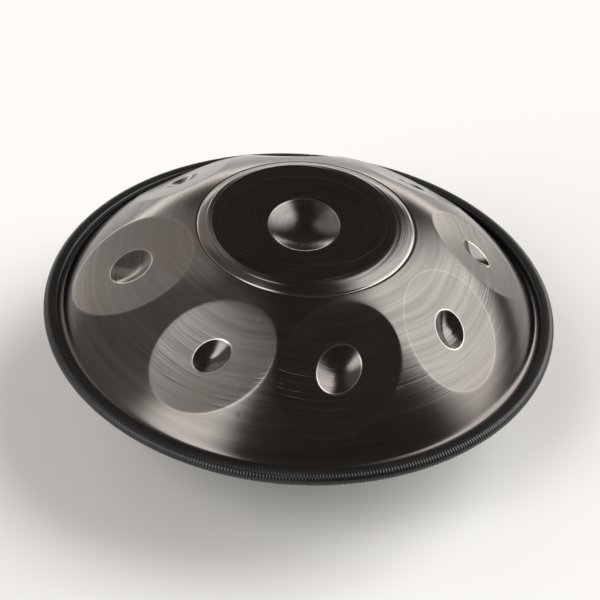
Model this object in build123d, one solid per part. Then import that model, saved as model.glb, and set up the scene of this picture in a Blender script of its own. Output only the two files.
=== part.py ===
from build123d import *
import os
from math import atan, cos, radians, sin

# A handpan: two dished steel shells, glued flange to flange round an air cavity, with a rubber
# strip over the joint and a badge on the underside. Millimetres, +Z up. The origin is on the
# instrument's axis, in the plane of the flat ring that it rests on.

# Shells
wall = 1.2
dome_radius = 249.0            # where a dome meets its flange
flange_radius = 265.0
flange_bend = 5.0              # outside radius of the bend between dome and flange
ding_rise = 115.0              # crown of the top dome above its flange, before its centre is flattened
gu_rise = 118.0                # the same for the bottom dome
crown_power = 2.47             # profile: rise * (1 - (r / dome_radius) ** crown_power) ** rim_power
rim_power = 0.91
profile_stations = 14
profile_end = 246.0            # the curve ends here and runs straight down to the flange
hollow_brim = 20.0             # how far the hollow's block passes the flange, so that it cuts clean

# Base of the bottom shell
base_disc_radius = 77.0
rest_ring_inner = 79.5
rest_ring_outer = 86.0
base_recess = 1.8              # the disc lies this much above the ring

# Joint and rim
bond_thickness = 0.4
bond_inner_radius = 254.0
bond_outer_radius = 264.5
rim_radius = 270.0             # outside of the rubber strip
trim_lip_radius = 255.0
trim_height = 12.6
trim_lip_round = 2.4
trim_seam_angle = 0.1          # degrees left open where the strip's two ends meet, at the back

# Centre note: a flat oval plateau with a bevelled edge, and a hollow dimple in it.
# An oval is the x and y of its centre, its half width and its half length.
plateau_height = 107.5         # above the top flange
plateau_oval = (-6.0, -0.5, 90.5, 98.0)
bevel_oval = (0.0, 1.2, 110.5, 113.2)
bevel_foot_height = 99.3       # the bevel starts just inside the dome
plateau_cut_radius = 125.0
ding_dimple_place = (-1.5, -6.0)

# A dimple is its half width, half length and depth.
ding_dimple = (37.0, 44.0, 9.5)

# Ring of tone fields: azimuth from +X in degrees, radius of the centre, half width, half length, dimple
tone_fields = [
    (190.5, 184.0, 64.0, 80.0, (22.0, 28.0, 6.5)),
    (243.5, 186.0, 55.0, 67.0, (16.0, 20.5, 6.5)),
    (284.0, 181.0, 58.0, 73.0, (21.0, 26.5, 7.5)),
    (327.0, 184.0, 55.0, 66.0, (17.0, 21.5, 6.5)),
    (9.5, 187.0, 50.0, 61.0, (15.0, 19.0, 6.0)),
    (52.0, 188.0, 49.0, 59.0, (15.0, 19.0, 6.0)),
    (95.0, 187.0, 52.0, 63.0, (17.0, 21.0, 6.5)),
    (137.5, 191.0, 54.0, 66.0, (20.0, 25.0, 6.5)),
]
field_turn = 38.0              # degrees from the radius to the ovals' long axis
field_depth = 4.0              # how far a field's flat lies below the dome at its centre
cutter_height = 40.0

# Badge, glued under the base disc
badge_radius = 39.5
badge_thickness = 1.1
adhesive_radius = 38.5
adhesive_thickness = 0.15
gold_thickness = 0.12
gold_ring_radius = 37.6
gold_ring_width = 0.9
emblem_dots = 8
emblem_radius = 15.0
emblem_dot_radius = 2.6
emblem_centre_radius = 6.0
emblem_centre_width = 1.2


def dome_height(r, rise):
    """Height of a dome's outside above its flange, at radius r."""
    return rise * (1 - (r / dome_radius) ** crown_power) ** rim_power


def dome_slope(r, rise):
    """Angle at which a dome falls outwards at radius r, in radians."""
    step = 0.01
    return atan((dome_height(abs(r - step), rise) - dome_height(r + step, rise)) / (2 * step))


gu_depth = dome_height(rest_ring_outer, gu_rise)      # from the bottom flange to the rest ring
joint_height = gu_depth + wall + bond_thickness / 2
ding_flange_height = joint_height + bond_thickness / 2 + wall


def dome_points(rise, inset, first_radius):
    """The dome profile from first_radius out, as (radius, height), moved inwards by inset."""
    points = []
    for i in range(profile_stations):
        r = first_radius + (profile_end - first_radius) * (i / (profile_stations - 1)) ** 0.8
        slope = dome_slope(r, rise)
        points.append((r - inset * sin(slope), dome_height(r, rise) - inset * cos(slope)))
    return points


def dome_block(rise, inset, first_radius, base, brim_radius, brim_depth):
    """The solid under a dome and its flange, with both faces moved inwards by inset.

    base holds the (radius, height) points from the axis to where the dome curve starts.
    """
    points = dome_points(rise, inset, first_radius)
    start, end = dome_slope(first_radius, rise), dome_slope(profile_end, rise)
    curve = Spline(*points, tangents=[(cos(start), -sin(start)), (cos(end), -sin(end))])
    foot = (points[-1][0] + (points[-1][1] + inset) * cos(end) / sin(end), -inset)
    floor = -inset - brim_depth
    corners = [points[-1], foot, (brim_radius, -inset), (brim_radius, floor), (0, floor)]
    corners += base + [points[0]]
    section = make_face([curve] + [Line(a, b) for a, b in zip(corners, corners[1:])])
    bend = section.vertices().sort_by_distance(foot)[0]
    return revolve(Plane.XZ * fillet(bend, flange_bend + inset), Axis.Z)


def ding_block(inset):
    """The top dome, solid, with the notes cut into it and its faces moved inwards by inset."""
    brim = (flange_radius, wall) if inset == 0 else (flange_radius + hollow_brim, hollow_brim)
    block = dome_block(ding_rise, inset, 0, [], *brim)
    block += plateau_block(inset)
    top = Plane.XY.offset(plateau_height - inset)
    block -= flat_cutter(top, plateau_cut_radius, plateau_cut_radius)
    block -= dimple_cutter(top * Pos(*ding_dimple_place), ding_dimple, inset)
    for azimuth, radius, half_width, half_length, dimple in tone_fields:
        flat = field_plane(azimuth, radius, inset)
        block -= flat_cutter(flat, half_width, half_length)
        block -= dimple_cutter(flat, dimple, inset)
    return block


def plateau_block(inset):
    """The centre note's plateau: a bevelled oval that stands a little out of the dome."""
    sections = []
    for oval, height in ((bevel_oval, bevel_foot_height), (plateau_oval, plateau_height)):
        x, y, half_width, half_length = oval
        outline = Ellipse(half_width - inset / 4, half_length - inset / 4)
        sections.append(Pos(x, y, height - inset) * outline)
    return loft(sections, ruled=True)


def field_plane(azimuth, radius, inset):
    """The plane of a tone field's flat: +Z points out of the shell, +Y along the oval."""
    turn, slope = radians(azimuth), dome_slope(radius, ding_rise)
    out = Vector(cos(turn), sin(turn), 0)
    normal = out * sin(slope) + Vector(0, 0, 1) * cos(slope)
    across = Vector(-sin(turn), cos(turn), 0).rotate(Axis((0, 0, 0), normal), -field_turn)
    surface = out * radius + Vector(0, 0, dome_height(radius, ding_rise))
    return Plane(surface - normal * (field_depth + inset), x_dir=across, z_dir=normal)


def flat_cutter(plane, half_width, half_length):
    """An oval block that stands on a plane and takes away what rises above it."""
    return extrude(plane * Ellipse(half_width, half_length), cutter_height)


def dimple_cutter(plane, dimple, inset):
    """A bowl sunk into a plane. Inside the shell it is larger by inset, so that the wall follows it."""
    half_width, half_length, depth = dimple
    bowl_radius = (half_width ** 2 + depth ** 2) / (2 * depth)
    bowl = scale(Sphere(bowl_radius + inset), by=(1, half_length / half_width, 1))
    return plane * Pos(0, 0, bowl_radius - depth + inset) * bowl


def ding_shell():
    shell = ding_block(0) - ding_block(wall)
    return Pos(0, 0, ding_flange_height) * shell


def gu_base(inset):
    """Section points of the base: the disc, the step down to the rest ring, and the ring."""
    disc, ring = gu_depth - base_recess - inset, gu_depth - inset
    return [(0, disc), (base_disc_radius + inset / 2, disc), (rest_ring_inner + inset / 2, ring)]


def gu_shell():
    outside = dome_block(gu_rise, 0, rest_ring_outer, gu_base(0), flange_radius, wall)
    brim = flange_radius + hollow_brim
    inside = dome_block(gu_rise, wall, rest_ring_outer, gu_base(wall), brim, hollow_brim)
    return Pos(0, 0, gu_depth) * mirror(outside - inside, Plane.XY)


def rim_bond():
    ring = Circle(bond_outer_radius) - Circle(bond_inner_radius)
    return Pos(0, 0, joint_height - bond_thickness / 2) * extrude(ring, bond_thickness)


def rim_trim():
    """The rubber strip: a round-backed channel pushed over both flanges."""
    half, slot = trim_height / 2, wall + bond_thickness / 2
    back = rim_radius - half
    outline = [
        Line((flange_radius, slot), (trim_lip_radius, slot)),
        Line((trim_lip_radius, slot), (trim_lip_radius, half)),
        Line((trim_lip_radius, half), (back, half)),
        ThreePointArc((back, half), (rim_radius, 0), (back, -half)),
        Line((back, -half), (trim_lip_radius, -half)),
        Line((trim_lip_radius, -half), (trim_lip_radius, -slot)),
        Line((trim_lip_radius, -slot), (flange_radius, -slot)),
        Line((flange_radius, -slot), (flange_radius, slot)),
    ]
    section = make_face(outline)
    lips = [v for v in section.vertices() if v.X < back - 1 and abs(v.Y) > slot + 1]
    section = Plane.XZ * fillet(lips, trim_lip_round)
    strip = revolve(section, Axis.Z, 360 - trim_seam_angle)
    return Pos(0, 0, joint_height) * Rot(0, 0, 90 + trim_seam_angle / 2) * strip


adhesive_bottom = base_recess - adhesive_thickness
badge_bottom = adhesive_bottom - badge_thickness


def badge_adhesive():
    return Pos(0, 0, adhesive_bottom) * extrude(Circle(adhesive_radius), adhesive_thickness)


def badge_plate():
    return Pos(0, 0, badge_bottom) * extrude(Circle(badge_radius), badge_thickness)


def badge_gold():
    """A ring near the badge's edge, and a plain emblem: a small ring with dots about it."""
    drawing = Circle(gold_ring_radius) - Circle(gold_ring_radius - gold_ring_width)
    drawing += Circle(emblem_centre_radius) - Circle(emblem_centre_radius - emblem_centre_width)
    drawing += PolarLocations(emblem_radius, emblem_dots) * Circle(emblem_dot_radius)
    return Pos(0, 0, badge_bottom - gold_thickness) * extrude(drawing, gold_thickness)


parts = {
    "ding_shell": ding_shell(),
    "gu_shell": gu_shell(),
    "rim_bond": rim_bond(),
    "rim_trim": rim_trim(),
    "badge_adhesive": badge_adhesive(),
    "badge_plate": badge_plate(),
    "badge_gold": badge_gold(),
}

os.makedirs("parts", exist_ok=True)
for name, part in parts.items():
    export_step(part, f"parts/{name}.step")
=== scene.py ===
from math import atan, cos, pi, radians, sin, sqrt

import bpy
import numpy as np
from mathutils import Matrix, Vector
from mathutils.geometry import delaunay_2d_cdt


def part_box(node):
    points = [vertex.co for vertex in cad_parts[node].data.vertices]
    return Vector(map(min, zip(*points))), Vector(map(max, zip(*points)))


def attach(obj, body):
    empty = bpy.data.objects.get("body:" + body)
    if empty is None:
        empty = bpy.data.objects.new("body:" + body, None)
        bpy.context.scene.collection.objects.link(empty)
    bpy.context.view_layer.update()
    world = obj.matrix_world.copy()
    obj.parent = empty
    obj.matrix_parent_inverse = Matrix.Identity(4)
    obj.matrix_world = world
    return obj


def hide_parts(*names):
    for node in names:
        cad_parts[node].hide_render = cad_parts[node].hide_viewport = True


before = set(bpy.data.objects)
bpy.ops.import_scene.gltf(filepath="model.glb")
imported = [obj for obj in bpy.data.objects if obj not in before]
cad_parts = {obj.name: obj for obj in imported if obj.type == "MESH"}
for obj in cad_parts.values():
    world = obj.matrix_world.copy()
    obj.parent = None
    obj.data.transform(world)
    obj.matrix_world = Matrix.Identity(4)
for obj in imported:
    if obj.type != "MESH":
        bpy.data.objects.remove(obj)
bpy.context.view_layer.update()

# A handpan: a top shell with a hollow centre note and a ring of oval tone fields, a plain bottom
# shell, a ribbed rubber strip over their joint, and a round badge underneath. Shapes are worked
# out in millimetres about the instrument's axis, and written to the meshes in metres.
MM = 0.001

# Thickness of the steel, and of the glue between the two flanges
wall = 1.2
bond_thickness = 0.4

# Heights and radii that the frame gives
ding_low, ding_high = (np.array(corner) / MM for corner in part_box("ding_shell"))
gu_low, gu_high = (np.array(corner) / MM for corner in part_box("gu_shell"))
trim_low, trim_high = (np.array(corner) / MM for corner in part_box("rim_trim"))
badge_low, badge_high = (np.array(corner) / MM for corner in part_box("badge_plate"))
ding_flange = ding_low[2] + wall
ding_top = ding_high[2] - ding_flange
gu_flange = gu_high[2] - wall
rim_radius = trim_high[0]
trim_half_height = (trim_high[2] - trim_low[2]) / 2
trim_middle = (trim_high[2] + trim_low[2]) / 2
badge_radius = badge_high[0]

# Domes: rise * (1 - (r / dome_radius) ** crown_power) ** rim_power, then straight to the flange
dome_radius = 249.0
profile_end = 246.0
ding_rise = 115.0
gu_rise = 118.0
crown_power = 2.47
rim_power = 0.91
bend_softness = 3.2
flange_radius = 264.4

# Centre note: an oval plateau with a bevelled edge, a hollow dimple and a faint scratched oval.
# An oval is the x and y of its centre, its half width and its half length.
plateau_oval = (-6.0, -0.5, 90.5, 98.0)
bevel_oval = (0.0, 1.2, 110.5, 113.2)
ding_dimple = (-1.5, -6.0, 37.0, 44.0)
ding_dimple_depth = 11.5
disc_mark = (-2.0, 1.0, 85.5, 76.0)
disc_mark_width = 0.008        # as a share of the oval

# Bevel: places across it run from 0 at its foot to 1 at the plateau. Part of its rise comes in
# small steps, each a place and a share of the rise. Fine turned rings run round it, the deepest
# a groove along its foot, and more of them on the right where it is wide: place, width and rise.
bevel_softness = 0.05
bevel_steps = [(0.985, 0.07), (0.56, 0.07)]
bevel_step_softness = 0.014
bevel_rings = [(-0.05, 0.055, -0.55), (0.03, 0.04, 0.10)]
bevel_right_rings = [(-0.15, 0.03, 0.05), (0.16, 0.03, 0.06), (0.30, 0.03, -0.07),
                     (0.42, 0.03, 0.06), (0.56, 0.03, -0.06), (0.70, 0.03, 0.05)]

# Tone fields: azimuth from +X in degrees, radius of the centre, half width, half length, and the
# dimple's half width, half length and depth
tone_fields = [
    (190.5, 184.0, 64.0, 80.0, (22.0, 28.0, 6.5)),
    (243.5, 186.0, 55.0, 67.0, (16.0, 20.5, 6.5)),
    (284.0, 181.0, 58.0, 73.0, (21.0, 26.5, 7.5)),
    (327.0, 184.0, 55.0, 66.0, (17.0, 21.5, 6.5)),
    (9.5, 187.0, 50.0, 61.0, (15.0, 19.0, 6.0)),
    (52.0, 188.0, 49.0, 59.0, (15.0, 19.0, 6.0)),
    (95.0, 187.0, 52.0, 63.0, (17.0, 21.0, 6.5)),
    (137.5, 191.0, 54.0, 66.0, (20.0, 25.0, 6.5)),
]
field_turn = 38.0              # degrees from the radius to the ovals' long axis
field_flattening = 0.95        # share of the dome's bulge that is hammered out of a field
field_edge_softness = 0.035
dimple_edge_softness = 0.03
bowl_roundness = 0.8           # size of the round bottom, as a share of the dimple

# Highlights painted pale along the top shell's edges: how wide and how strong. The width of a dimple's lip
# or a field's edge is a share of its oval, and the groove's is a share of the bevel. Turned scratches show
# mostly in a
# band round the dome: its middle radius, its half width and the half width where it has faded.
lip_width = 0.018              # of the centre dimple; the small dimples' lips are as wide in mm
groove_highlight_width, groove_highlight = 0.05, 0.7
field_edge_highlight_width, field_edge_highlight = 0.012, 0.13
worn_band = (196.0, 16.0, 35.2)

# Rubber strip
trim_lip_radius = 255.0
trim_lip_round = 2.4
rib_count = 540
rib_depth = 0.5
rib_profile = (0.0, 0.6, 1.0, 0.6)     # from one crest to the next, as shares of the depth
seam_width, seam_depth = 0.5, 1.1      # the notch where the strip's two ends meet, at the back

# Badge
badge_edge_round = 0.45

# Base of the bottom shell: sunk disc, step and rest ring, with fine turned rings, each a radius,
# width and rise
base_disc_radius = 78.0
base_recess = 1.8
base_step_softness = 0.45
base_softness = 0.6
base_rings = [(74.6, 0.5, -0.22), (76.0, 0.35, 0.12), (81.5, 0.5, 0.0), (89.5, 0.7, 0.18)]

# Fineness of the meshes: points round each oval or circle, and gaps on the open dome, which lies
# between the centre note and the skirt. The field rows stop short of both.
centre_points, dimple_points, field_points, field_edge_points = 176, 72, 108, 116
skirt_points, gu_points, badge_points = 360, 280, 160
open_row_gap, open_point_gap = 3.1, 3.6
open_dome_start, open_dome_end = 116.0, 239.0
bevel_rows = 52
bevel_clearance = -0.33        # place across the bevel where the field rows stop


# ---------------------------------------------------------------- shapes of the shells

def soft_positive(value, softness):
    """value where it is positive and 0 where it is negative, with a rounded corner between."""
    return 0.5 * (value + np.sqrt(value ** 2 + softness ** 2))


def hump(value, middle, width):
    """A smooth hump of height 1 where value is at middle."""
    return np.exp(-((value - middle) / width) ** 2)


def curve_height(r, rise):
    return rise * (1 - (r / dome_radius) ** crown_power) ** rim_power


def dome_height(r, rise):
    """Height of a dome above its flange: the curve, then a straight skirt, then the soft bend."""
    step = 0.01
    fall = (curve_height(profile_end - step, rise) - curve_height(profile_end, rise)) / step
    height = curve_height(np.minimum(r, profile_end), rise) - fall * np.maximum(r - profile_end, 0)
    return soft_positive(height, bend_softness)


def bowl(share):
    """A dimple's profile: 1 at its middle and 0 at its lip, a cone with a round bottom."""
    rise = np.sqrt(share ** 2 + bowl_roundness ** 2) - bowl_roundness
    lip = sqrt(1 + bowl_roundness ** 2) - bowl_roundness
    return soft_positive(1 - rise / lip, dimple_edge_softness)


def on_dome(plan):
    """Points of the plain top dome over plan points (x, y)."""
    heights = dome_height(np.hypot(plan[:, 0], plan[:, 1]), ding_rise)
    return np.column_stack([plan, heights])


class ToneField:
    """One oval note on the dome: its own axes, its size, and its dimple."""

    def __init__(self, azimuth, radius, half_width, half_length, dimple):
        turn, lean, step = radians(azimuth), radians(field_turn), 0.05
        inner, middle, outer = dome_height(np.array([radius - step, radius, radius + step]), ding_rise)
        slope = atan((inner - outer) / (2 * step))
        self.centre = np.array([radius * cos(turn), radius * sin(turn), middle])
        self.normal = np.array([sin(slope) * cos(turn), sin(slope) * sin(turn), cos(slope)])
        around = np.array([-sin(turn), cos(turn), 0])
        down = np.cross(around, self.normal)
        self.across = around * cos(lean) + down * sin(lean)
        self.along = down * cos(lean) - around * sin(lean)
        self.oval = (half_width, half_length)
        self.dimple_oval, self.dimple_depth = dimple[:2], dimple[2]
        edge = self.row(self.oval, 72)
        bulge = (self.centre - on_dome(edge)) @ self.normal
        self.depth = field_flattening * float(np.mean(bulge))

    def share(self, points, oval):
        """How far out dome points lie in an oval about the field's centre: 1 on its edge."""
        offset = points - self.centre
        return np.hypot(offset @ self.across / oval[0], offset @ self.along / oval[1])

    def row(self, oval, count):
        """Plan points of an oval row on the dome, found by a few steps over the surface."""
        angle = np.linspace(0, 2 * pi, count, endpoint=False)
        u, w = oval[0] * np.cos(angle), oval[1] * np.sin(angle)
        plan = np.zeros((count, 2)) + self.centre[:2]
        for _ in range(16):
            offset = on_dome(plan) - self.centre
            miss_u, miss_w = u - offset @ self.across, w - offset @ self.along
            plan = plan + np.outer(miss_u, self.across[:2]) + np.outer(miss_w, self.along[:2])
        return plan

    def push(self, points):
        """How far dome points are pressed in along the field's normal."""
        flat = self.depth * soft_positive(1 - self.share(points, self.oval) ** 2, field_edge_softness)
        return flat + self.dimple_depth * bowl(self.share(points, self.dimple_oval))


fields = [ToneField(*numbers) for numbers in tone_fields]


def oval_share(plan, oval):
    """How far out plan points lie in an oval: 1 on its edge."""
    return np.hypot((plan[:, 0] - oval[0]) / oval[2], (plan[:, 1] - oval[1]) / oval[3])


def oval_row(oval, share, compass):
    """Plan points round an oval, at a share of its size, one for each direction of the compass."""
    return np.array(oval[:2]) + compass * np.array(oval[2:]) * share


def bevel_place(plan):
    """0 on the outer edge of the centre note's bevel, 1 on the plateau's edge, more inside it."""
    outer, inner = oval_share(plan, bevel_oval), oval_share(plan, plateau_oval)
    return np.minimum((1 - outer) / np.maximum(inner - outer, 0.01), 6.0)


def bevel_row(place, compass):
    """Plan points at one place across the bevel, found along rays by halving."""
    near = np.full((len(compass), 1), 0.6 * bevel_oval[2])
    far = np.full((len(compass), 1), 1.3 * bevel_oval[3])
    for _ in range(30):
        middle = (near + far) / 2
        inside = (bevel_place(compass * middle) > place)[:, None]
        near, far = np.where(inside, middle, near), np.where(inside, far, middle)
    return compass * near


def centre_height(plan, height):
    """The dome's height with the plateau, the turned bevel and the hollow dimple worked in."""
    place = bevel_place(plan)
    ramp = soft_positive(place, bevel_softness) - soft_positive(place - 1, bevel_softness)
    share = ramp * (1 - sum(step for _, step in bevel_steps))
    for middle, step in bevel_steps:
        share = share + step / (1 + np.exp((middle - place) / bevel_step_softness))
    lifted = height * (1 - share) + ding_top * share
    right = np.clip(plan[:, 0] / bevel_oval[2], 0, 1)
    for middle, width, rise in bevel_rings:
        lifted = lifted + rise * hump(place, middle, width)
    for middle, width, rise in bevel_right_rings:
        lifted = lifted + right * rise * hump(place, middle, width)
    return np.minimum(lifted, ding_top) - ding_dimple_depth * bowl(oval_share(plan, ding_dimple))


def top_surface(plan):
    """Points of the top shell's outside over plan points (x, y), measured from its flange."""
    dome = on_dome(plan)
    points = dome.copy()
    for field in fields:
        near = field.share(dome, field.oval) < 1.6
        points[near] -= np.outer(field.push(dome[near]), field.normal)
    centre = np.hypot(plan[:, 0], plan[:, 1]) < 1.25 * bevel_oval[3]
    points[centre, 2] += centre_height(plan[centre], dome[centre, 2]) - dome[centre, 2]
    return points


def painted_edge_highlight(plan):
    """How strongly a highlight is painted pale into the finish: dimple lips, the foot of the bevel, the
    fields' edges.
    """
    dome = on_dome(plan)
    groove_place = bevel_rings[0][0]
    painted_highlight = hump(oval_share(plan, ding_dimple), 1.0, lip_width)
    painted_highlight = np.maximum(painted_highlight, groove_highlight * hump(bevel_place(plan), groove_place, groove_highlight_width))
    for field in fields:
        width = lip_width * ding_dimple[2] / field.dimple_oval[0]
        lip = hump(field.share(dome, field.dimple_oval), 1.0, width)
        edge = field_edge_highlight * hump(field.share(dome, field.oval), 1.0, field_edge_highlight_width)
        painted_highlight = np.maximum(painted_highlight, np.maximum(lip, edge))
    return painted_highlight


def top_normals(plan):
    """Outward unit normals of the top shell, from small steps east and north."""
    step = 0.04
    east, north = np.array([step, 0]), np.array([0, step])
    tangent_x = top_surface(plan + east) - top_surface(plan - east)
    tangent_y = top_surface(plan + north) - top_surface(plan - north)
    normals = np.cross(tangent_x, tangent_y)
    return normals / np.linalg.norm(normals, axis=1)[:, None]


# ---------------------------------------------------------------- meshes

def new_piece(name, verts, faces, material, normals=None):
    mesh = bpy.data.meshes.new(name)
    mesh.from_pydata((np.asarray(verts) * MM).tolist(), [], faces)
    mesh.validate()
    mesh.materials.append(material)
    mesh.shade_smooth()
    if normals is not None:
        mesh.normals_split_custom_set_from_vertices(normals.tolist())
    piece = bpy.data.objects.new(name, mesh)
    bpy.context.scene.collection.objects.link(piece)
    return piece


def circle_row(radius, count, shift=0.0):
    """Plan points round a circle, turned on by a share of the gap between them."""
    angle = (np.arange(count) + shift) * 2 * pi / count
    return np.column_stack([radius * np.cos(angle), radius * np.sin(angle)])


def top_rows():
    """Plan points of the top shell: close rows along every edge, and a wider mesh between."""
    near_edge = [0.9, 0.94, 0.965, 0.98, 0.99, 1.0, 1.01, 1.02, 1.035, 1.06, 1.1]
    bowl_rows = [0.15, 0.3, 0.45, 0.6, 0.73, 0.83] + near_edge
    rows = [np.zeros((1, 2))]
    angle = np.linspace(0, 2 * pi, centre_points, endpoint=False)
    compass = np.column_stack([np.cos(angle), np.sin(angle)])
    rows += [oval_row(ding_dimple, share, compass) for share in bowl_rows]
    bevel = [bevel_row(place, compass) for place in np.linspace(1.3, -0.3, bevel_rows)]
    for share in np.linspace(0, 1, 13)[1:-1]:
        rows.append(rows[len(bowl_rows)] * (1 - share) + bevel[0] * share)
    rows += bevel
    for field in fields:
        rows.append(field.centre[None, :2])
        width, length = field.dimple_oval
        rows += [field.row((width * share, length * share), dimple_points) for share in bowl_rows]
        for share in np.linspace(0, 1, 11)[1:-1]:
            inner = [1.1 * size * (1 - share) for size in field.dimple_oval]
            oval = [size + 0.93 * share * edge for size, edge in zip(inner, field.oval)]
            rows.append(field.row(oval, field_points))
        for share in (0.955, 0.975, 0.988, 1.0, 1.012, 1.025, 1.045, 1.07):
            row = field.row([share * edge for edge in field.oval], field_edge_points)
            off_skirt = np.hypot(row[:, 0], row[:, 1]) < open_dome_end
            rows.append(row[(bevel_place(row) < bevel_clearance) & off_skirt])
    rows += open_dome_rows()
    skirt = np.concatenate([np.linspace(240, 254, 14), [257.0, flange_radius]])
    rows += [circle_row(radius, skirt_points) for radius in skirt]
    return np.concatenate(rows)


def open_dome_rows():
    """Staggered rows over the dome between the notes."""
    kept = []
    for i, radius in enumerate(np.arange(open_dome_start, open_dome_end, open_row_gap)):
        row = circle_row(radius, int(2 * pi * radius / open_point_gap), 0.5 * (i % 2))
        points = on_dome(row)
        clear = bevel_place(row) < -0.45
        for field in fields:
            clear &= field.share(points, field.oval) > 1.095
        kept.append(row[clear])
    return kept


def build_top_shell(material):
    """The top shell: a mesh laid out in plan, raised to the surface and thickened by the wall."""
    plan = top_rows()
    points, _, faces, _, _, _ = delaunay_2d_cdt([Vector(p) for p in plan], [], [], 0, 1e-4)
    plan = np.array([tuple(p) for p in points])
    outside, normals = top_surface(plan), top_normals(plan)
    outside[:, 2] += ding_flange
    inside = outside - wall * normals
    count = len(plan)
    rim = np.flatnonzero(np.hypot(plan[:, 0], plan[:, 1]) > flange_radius - 0.01)
    rim = rim[np.argsort(np.arctan2(plan[rim, 1], plan[rim, 0]))].tolist()
    faces = [list(face) for face in faces]
    inner_faces = [[v + count for v in reversed(face)] for face in faces]
    edge = [[a, b, b + count, a + count][::-1] for a, b in zip(rim, rim[1:] + rim[:1])]
    verts = np.concatenate([outside, inside])
    shell = new_piece("ding_shell_formed", verts, faces + inner_faces + edge, material,
                      np.concatenate([normals, -normals]))
    # How strongly each point gets the painted highlight along the lips, the bevel's foot and the fields'
    # edges
    painted_highlight = shell.data.attributes.new("painted_highlight", "FLOAT", "POINT")
    painted_highlight.data.foreach_set("value", np.tile(painted_edge_highlight(plan), 2).astype(np.float32))
    return shell


def build_gu_shell(material):
    """The bottom shell: a skin that follows the base and the dome, thickened by the wall."""
    base = np.concatenate([np.linspace(0, 64, 17), np.arange(66, 74, 1.0), np.arange(74, 94, 0.35)])
    skirt = np.concatenate([np.arange(95, 240, 2.4), np.arange(240, 256, 0.8), [259.0, flange_radius]])
    radius = np.concatenate([base, skirt])
    height = gu_height(radius)
    slope = np.arctan(np.gradient(height, radius))
    outside = np.column_stack([radius, height])
    inside = outside + wall * np.column_stack([-np.sin(slope), np.cos(slope)])
    inside[0, 0] = 0
    outline = np.concatenate([outside, inside[::-1]])
    return lathe("gu_shell_formed", outline, gu_points, material)


def gu_height(r):
    """Height of the bottom shell's outside above the floor: sunk disc, rest ring, then the dome."""
    dome = gu_flange - dome_height(r, gu_rise)
    height = soft_positive(dome, base_softness)
    height = height + base_recess / (1 + np.exp((r - base_disc_radius) / base_step_softness))
    for middle, width, rise in base_rings:
        height = height + rise * hump(r, middle, width)
    return height


def lathe(name, outline, count, material):
    """A closed piece turned about Z from (radius, height) points that start and end on the axis."""
    angle = np.linspace(0, 2 * pi, count, endpoint=False)
    verts, rings = [], []
    for r, z in outline:
        size = 1 if r == 0 else count
        rings.append([len(verts) + k % size for k in range(count)])
        verts += [(r * cos(a), r * sin(a), z) for a in angle[:size]]
    faces = []
    for upper, lower in zip(rings, rings[1:]):
        for k in range(count):
            m = (k + 1) % count
            corners = [upper[k], upper[m], lower[m], lower[k]]
            faces.append(list(dict.fromkeys(corners)))
    return new_piece(name, verts, faces, material)


def arc(centre, size, first, last, count, weight):
    """Points of an arc in the strip's section, from one direction in degrees to another."""
    points = []
    for degrees in np.linspace(first, last, count):
        c, s = cos(radians(degrees)), sin(radians(degrees))
        points.append((centre[0] + size * c, centre[1] + size * s, c, s, weight))
    return points


def trim_section():
    """The strip's section about its middle: radius, height, outward direction and rib weight."""
    half, slot = trim_half_height, wall + bond_thickness / 2
    lip_radius, lip_height = trim_lip_radius + trim_lip_round, half - trim_lip_round
    section = arc((lip_radius, lip_height), trim_lip_round, 180, 90, 6, 0.0)
    section += arc((rim_radius - half, 0), half, 90, -90, 15, 1.0)
    section += arc((lip_radius, -lip_height), trim_lip_round, -90, -180, 6, 0.0)
    section.append((trim_lip_radius, -slot, 0.0, 0.0, 0.0))
    section.append((flange_radius, -slot, 0.0, 0.0, 0.0))
    section.append((flange_radius, slot, 0.0, 0.0, 0.0))
    section.append((trim_lip_radius, slot, 0.0, 0.0, 0.0))
    return np.array(section)


def build_trim(material):
    """The rubber strip, with a fine rib every 3 mm or so and a butt joint at the back."""
    section = trim_section()
    count = rib_count * len(rib_profile)
    angle = np.arange(count) * 2 * pi / count
    groove = rib_depth * np.tile(rib_profile, rib_count)
    off_seam = (angle - pi / 2) * rim_radius
    groove = np.maximum(groove, seam_depth * hump(off_seam, 0, seam_width))
    push = groove[:, None] * section[None, :, 4]
    radius = section[None, :, 0] - push * section[None, :, 2]
    height = section[None, :, 1] - push * section[None, :, 3] + trim_middle
    x, y = radius * np.cos(angle)[:, None], radius * np.sin(angle)[:, None]
    verts = np.stack([x, y, height], axis=-1).reshape(-1, 3)
    around, across = np.meshgrid(np.arange(count), np.arange(len(section)), indexing="ij")
    next_around, next_across = (around + 1) % count, (across + 1) % len(section)
    corners = [around * len(section) + across, next_around * len(section) + across,
               next_around * len(section) + next_across, around * len(section) + next_across]
    faces = np.stack(corners, axis=-1).reshape(-1, 4).tolist()
    return new_piece("rim_strip_ribbed", verts, faces, material)


def build_badge(material):
    """The badge's disc with a softly rounded lower edge."""
    low, high, edge = badge_low[2], badge_high[2], badge_edge_round
    turn = np.linspace(-90, 0, 6)
    inner, middle = badge_radius - edge, low + edge
    rounded = [(inner + edge * cos(radians(t)), middle + edge * sin(radians(t))) for t in turn]
    outline = [(0, low), (badge_radius / 2, low)] + rounded + [(badge_radius, high), (0, high)]
    return lathe("badge_disc", outline, badge_points, material)


# ---------------------------------------------------------------- materials

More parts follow.
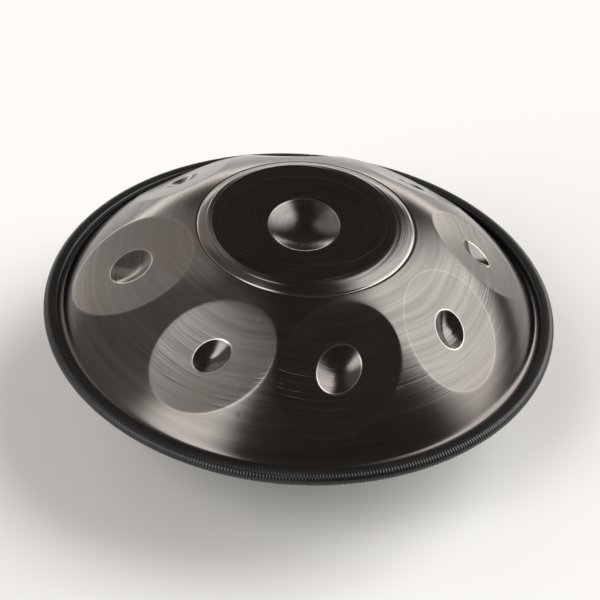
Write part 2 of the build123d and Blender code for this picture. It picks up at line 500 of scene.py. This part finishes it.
class Nodes:
    """A short way to build a node tree."""

    def __init__(self, tree):
        self.tree = tree

    def put(self, kind, inputs=None, **settings):
        node = self.tree.nodes.new(kind)
        for key, value in settings.items():
            setattr(node, key, value)
        for key, value in (inputs or {}).items():
            self.feed(node.inputs[key], value)
        return node

    def feed(self, socket, value):
        if isinstance(value, bpy.types.NodeSocket):
            self.tree.links.new(value, socket)
        else:
            socket.default_value = value

    def math(self, operation, a, b=0.0, c=0.0):
        node = self.put("ShaderNodeMath", operation=operation)
        for socket, value in zip(node.inputs, (a, b, c)):
            self.feed(socket, value)
        return node.outputs[0]

    def blend(self, factor, a, b):
        node = self.put("ShaderNodeMix", {0: factor}, data_type="RGBA")
        self.feed(node.inputs["A"], a)
        self.feed(node.inputs["B"], b)
        return node.outputs["Result"]

    def ramp(self, value, low, high, to_low=0.0, to_high=1.0):
        node = self.put("ShaderNodeMapRange", {0: value, 1: low, 2: high, 3: to_low, 4: to_high})
        node.interpolation_type = "SMOOTHSTEP"
        return node.outputs[0]

    def vector(self, x, y, z):
        return self.put("ShaderNodeCombineXYZ", {0: x, 1: y, 2: z}).outputs[0]

    def noise(self, vector, scale, detail=2.0):
        inputs = {"Vector": vector, "Scale": scale, "Detail": detail}
        return self.put("ShaderNodeTexNoise", inputs).outputs[0]


class Surface(Nodes):
    """The nodes of a material."""

    def __init__(self, name):
        self.material = bpy.data.materials.new(name)
        self.material.use_nodes = True
        super().__init__(self.material.node_tree)
        self.shader = self.tree.nodes["Principled BSDF"]

    def position(self):
        place = self.put("ShaderNodeTexCoord").outputs["Object"]
        parts = self.put("ShaderNodeSeparateXYZ", {0: place}).outputs
        return place, parts[0], parts[1], parts[2]

    def polar(self, x, y):
        """Distance from the axis in millimetres, and the direction as two smooth numbers."""
        squares = self.math("ADD", self.math("MULTIPLY", x, x), self.math("MULTIPLY", y, y))
        radius = self.math("MAXIMUM", self.math("SQRT", squares), 0.0005)
        return (self.math("DIVIDE", radius, MM), self.math("DIVIDE", x, radius),
                self.math("DIVIDE", y, radius))

    def turned(self, radius, east, north, per_mm, turns, detail=2.0):
        """Noise drawn out round the axis, as a lathe leaves it."""
        vector = self.vector(self.math("MULTIPLY", radius, per_mm), self.math("MULTIPLY", east, turns),
                             self.math("MULTIPLY", north, turns))
        return self.noise(vector, 1.0, detail)

    def finish(self, color, roughness, height=None, distance=0.0001, strength=1.0, **fixed):
        self.feed(self.shader.inputs["Base Color"], color)
        self.feed(self.shader.inputs["Roughness"], roughness)
        if height is not None:
            inputs = {"Height": height, "Distance": distance, "Strength": strength}
            self.feed(self.shader.inputs["Normal"], self.put("ShaderNodeBump", inputs).outputs[0])
        for key, value in fixed.items():
            self.shader.inputs[key.replace("_", " ")].default_value = value
        return self.material


def spun_steel(nodes, dark, pale, warm):
    """Colour, roughness and height of heat-treated steel with turned streaks and cloudy tints."""
    place, x, y, _ = nodes.position()
    radius, east, north = nodes.polar(x, y)
    fine = nodes.turned(radius, east, north, 1.3, 2.2, 3.0)
    broad = nodes.turned(radius, east, north, 0.2, 1.1, 2.0)
    cloud = nodes.noise(place, 7.0, 3.0)
    scratch = turned_scratches(nodes, radius, east, north)
    scratch = nodes.math("MULTIPLY", scratch, worn_patches(nodes, radius, place))
    tone = nodes.math("ADD", nodes.math("MULTIPLY", fine, 0.35), nodes.math("MULTIPLY", broad, 0.65))
    color = nodes.blend(nodes.ramp(tone, 0.32, 0.68), dark, pale)
    color = nodes.blend(nodes.ramp(cloud, 0.42, 0.68, 0.0, 0.5), color, warm)
    color = nodes.blend(nodes.math("MULTIPLY", scratch, 0.35), color, pale)
    roughness = nodes.ramp(cloud, 0.3, 0.7, 0.12, 0.19)
    roughness = nodes.math("ADD", roughness, nodes.math("MULTIPLY", fine, 0.06))
    height = nodes.math("SUBTRACT", nodes.math("MULTIPLY", fine, 0.15), scratch)
    return color, roughness, height, radius


def turned_scratches(nodes, radius, east, north):
    """Long thin strokes about the axis, as fine grit leaves them."""
    strokes = nodes.turned(radius, east, north, 0.42, 1.3, 3.0)
    return nodes.ramp(strokes, 0.52, 0.62)


def worn_patches(nodes, radius, place):
    """Where the scratches show: mostly in a band round the dome, and there only in patches."""
    off_band = nodes.math("ABSOLUTE", nodes.math("SUBTRACT", radius, worn_band[0]))
    band = nodes.ramp(off_band, worn_band[1], worn_band[2], 1.0, 0.18)
    return nodes.math("MULTIPLY", band, nodes.ramp(nodes.noise(place, 11.0, 2.0), 0.42, 0.62))


def oval_line(nodes, x, y, oval, width):
    """1 on the outline of an oval in plan, 0 beyond a width that is a share of the oval's size."""
    east = nodes.math("DIVIDE", nodes.math("SUBTRACT", x, oval[0] * MM), oval[2] * MM)
    north = nodes.math("DIVIDE", nodes.math("SUBTRACT", y, oval[1] * MM), oval[3] * MM)
    squares = nodes.math("ADD", nodes.math("MULTIPLY", east, east), nodes.math("MULTIPLY", north, north))
    off_line = nodes.math("ABSOLUTE", nodes.math("SUBTRACT", nodes.math("SQRT", squares), 1.0))
    return nodes.ramp(off_line, 0.0, width, 1.0, 0.0)


def ding_steel():
    """The top shell's steel, with the scratched oval on its disc and highlights painted pale along its
    edges.
    """
    nodes = Surface("ding_steel_patina")
    dark, pale, warm = (0.084, 0.078, 0.074, 1), (0.114, 0.109, 0.105, 1), (0.102, 0.089, 0.081, 1)
    color, roughness, height, _ = spun_steel(nodes, dark, pale, warm)
    _, x, y, z = nodes.position()
    just_under_disc = (ding_flange + ding_top - 2) * MM
    on_disc = nodes.math("GREATER_THAN", z, just_under_disc)
    mark = nodes.math("MULTIPLY", oval_line(nodes, x, y, disc_mark, disc_mark_width), on_disc)
    color = nodes.blend(nodes.math("MULTIPLY", mark, 0.4), color, pale)
    height = nodes.math("ADD", height, mark)
    # Painted highlight: lips, the bevel's foot and the fields' edges are blended towards a pale grey
    painted_highlight = nodes.put("ShaderNodeAttribute", attribute_name="painted_highlight").outputs["Fac"]
    color = nodes.blend(nodes.math("MULTIPLY", painted_highlight, 0.7), color, (0.42, 0.40, 0.37, 1))
    return nodes.finish(color, roughness, height, 0.00012, 0.8, Metallic=1.0)


def gu_steel():
    """The bottom shell's steel, with a paler, duller disc in the middle."""
    nodes = Surface("gu_steel_patina")
    dark, pale, warm = (0.092, 0.084, 0.078, 1), (0.125, 0.116, 0.108, 1), (0.110, 0.094, 0.082, 1)
    color, roughness, height, radius = spun_steel(nodes, dark, pale, warm)
    disc = nodes.ramp(radius, base_disc_radius - 3, base_disc_radius, 1.0, 0.0)
    color = nodes.blend(disc, color, (0.30, 0.285, 0.28, 1))
    roughness = nodes.math("ADD", roughness, nodes.math("MULTIPLY", disc, 0.16))
    return nodes.finish(color, roughness, height, 0.00003, 0.4, Metallic=1.0)


def rubber():
    nodes = Surface("trim_rubber_charcoal")
    place, *_ = nodes.position()
    grain = nodes.noise(place, 900.0, 2.0)
    cloud = nodes.noise(place, 14.0, 3.0)
    color = nodes.blend(nodes.ramp(cloud, 0.3, 0.7), (0.004, 0.004, 0.004, 1), (0.010, 0.0095, 0.0095, 1))
    roughness = nodes.ramp(grain, 0.3, 0.7, 0.24, 0.36)
    return nodes.finish(color, roughness, grain, 0.00003, 0.4, Specular_IOR_Level=0.4)


def lacquer():
    nodes = Surface("badge_black_lacquer")
    place, *_ = nodes.position()
    speck = nodes.noise(place, 600.0, 2.0)
    color = nodes.blend(nodes.ramp(speck, 0.4, 0.7), (0.010, 0.010, 0.009, 1), (0.022, 0.021, 0.019, 1))
    return nodes.finish(color, nodes.ramp(speck, 0.3, 0.7, 0.22, 0.34), speck, 0.00002, 0.4)


def gold():
    nodes = Surface("badge_gold_print")
    place, *_ = nodes.position()
    grain = nodes.noise(place, 1400.0, 2.0)
    color = nodes.blend(grain, (0.62, 0.47, 0.17, 1), (0.80, 0.66, 0.32, 1))
    return nodes.finish(color, nodes.ramp(grain, 0.3, 0.7, 0.25, 0.4), grain, 0.00002, 0.4, Metallic=1.0)


def glue(name, dark, pale):
    """A dull, cloudy film or bead."""
    nodes = Surface(name)
    place, *_ = nodes.position()
    cloud = nodes.noise(place, 60.0, 3.0)
    color = nodes.blend(cloud, dark, pale)
    return nodes.finish(color, nodes.ramp(cloud, 0.3, 0.7, 0.5, 0.7), cloud, 0.0001, 0.5)


def paint_cad(node, material):
    """Give a CAD node, which keeps its own shape, a finished material."""
    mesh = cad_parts[node].data
    mesh.materials.clear()
    mesh.materials.append(material)


# ---------------------------------------------------------------- the instrument

top_shell = build_top_shell(ding_steel())
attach(top_shell, "root")
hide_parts("ding_shell")

bottom_shell = build_gu_shell(gu_steel())
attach(bottom_shell, "root")
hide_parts("gu_shell")

strip = build_trim(rubber())
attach(strip, "root")
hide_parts("rim_trim")

badge = build_badge(lacquer())
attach(badge, "root")
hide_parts("badge_plate")

paint_cad("badge_gold", gold())
paint_cad("rim_bond", glue("bond_epoxy", (0.03, 0.03, 0.03, 1), (0.07, 0.07, 0.07, 1)))
paint_cad("badge_adhesive", glue("adhesive_film", (0.55, 0.54, 0.50, 1), (0.70, 0.69, 0.66, 1)))


# ---------------------------------------------------------------- floor, light and camera

# The camera: its height above the horizon and its roll in degrees, its distance from the point
# that it looks at, on the instrument's axis, and that point's height in metres
camera_elevation = 39.5
camera_roll = 4.2
camera_distance = 1.98
camera_lens = 112.0
camera_target_height = 0.115

# Light from the surround, and soft windows of light. A window is its azimuth from +X, the half
# widths where it is fully lit and where it has faded out, the same for its elevation (all in
# degrees), then its radiance and tint.
surround_light = (0.125, 0.108, 0.095)
neutral, warm_white, cream = (1.0, 0.985, 0.96), (1.0, 0.95, 0.91), (1.0, 0.96, 0.87)
studio_lamps = [
    (-139, 8, 27, 34, 22, 34, 4.8, neutral),
    (26, 20, 44, 38, 20, 33, 4.6, neutral),
    (130, 8, 20, 20, 26, 42, 0.9, warm_white),
    (168, 20, 44, 34, 34, 50, 0.34, warm_white),
    (96, 30, 50, -2, 5, 11, 3.6, cream),
]


def floor():
    nodes = Surface("floor_pale")
    place, *_ = nodes.position()
    cloud = nodes.noise(place, 1.5, 2.0)
    color = nodes.blend(cloud, (0.80, 0.80, 0.80, 1), (0.84, 0.84, 0.84, 1))
    nodes.finish(color, 0.7)
    bpy.ops.mesh.primitive_circle_add(vertices=96, radius=14.0, fill_type="NGON", location=(0, 0, -0.0004))
    ground = bpy.context.object
    ground.name = "studio_floor"
    ground.data.materials.append(nodes.material)


def studio_world():
    """Soft studio light: a dim surround, and broad soft windows of light around the instrument."""
    scene = bpy.context.scene
    scene.world = bpy.data.worlds.new("studio")
    scene.world.use_nodes = True
    sky = Nodes(scene.world.node_tree)
    direction = sky.put("ShaderNodeTexCoord").outputs["Generated"]
    height = sky.put("ShaderNodeSeparateXYZ", {0: direction}).outputs[2]
    elevation = sky.math("ARCSINE", height)
    total = sky.put("ShaderNodeRGB").outputs[0]
    total.default_value = (*surround_light, 1)
    for azimuth, lit, faded, middle, lit_height, faded_height, radiance, tint in studio_lamps:
        turn = radians(azimuth)
        ahead = sky.put("ShaderNodeVectorMath", {0: direction}, operation="DOT_PRODUCT")
        ahead.inputs[1].default_value = (cos(turn), sin(turn), 0)
        aside = sky.put("ShaderNodeVectorMath", {0: direction}, operation="DOT_PRODUCT")
        aside.inputs[1].default_value = (-sin(turn), cos(turn), 0)
        off_side = sky.math("ARCTAN2", aside.outputs["Value"], ahead.outputs["Value"])
        off_side = sky.math("ABSOLUTE", off_side)
        off_height = sky.math("ABSOLUTE", sky.math("SUBTRACT", elevation, radians(middle)))
        glow = sky.math("MULTIPLY", sky.ramp(off_side, radians(lit), radians(faded), 1.0, 0.0),
                        sky.ramp(off_height, radians(lit_height), radians(faded_height), 1.0, 0.0))
        lamp = sky.put("ShaderNodeMix", {0: glow}, data_type="RGBA", blend_type="ADD")
        sky.feed(lamp.inputs["A"], total)
        lamp.inputs["B"].default_value = [radiance * part for part in tint] + [1]
        total = lamp.outputs["Result"]
    sky.feed(sky.tree.nodes["Background"].inputs[0], total)


def camera():
    """The photographed view: seen from the front, well above the rim, with a slight roll."""
    elevation, roll = radians(camera_elevation), radians(camera_roll)
    back = Vector((0, -cos(elevation), sin(elevation)))
    right = Vector((1, 0, 0))
    up = back.cross(right)
    right, up = right * cos(roll) + up * sin(roll), up * cos(roll) - right * sin(roll)
    data = bpy.data.cameras.new("studio_camera")
    data.sensor_width, data.lens = 36.0, camera_lens
    data.clip_end = 60.0
    view = bpy.data.objects.new("studio_camera", data)
    axes = Matrix((right, up, back)).transposed().to_4x4()
    target = Vector((0, 0, camera_target_height))
    view.matrix_world = Matrix.Translation(target + back * camera_distance) @ axes
    bpy.context.scene.collection.objects.link(view)
    bpy.context.scene.camera = view


floor()
studio_world()
camera()
bpy.context.scene.view_settings.view_transform = "Standard"
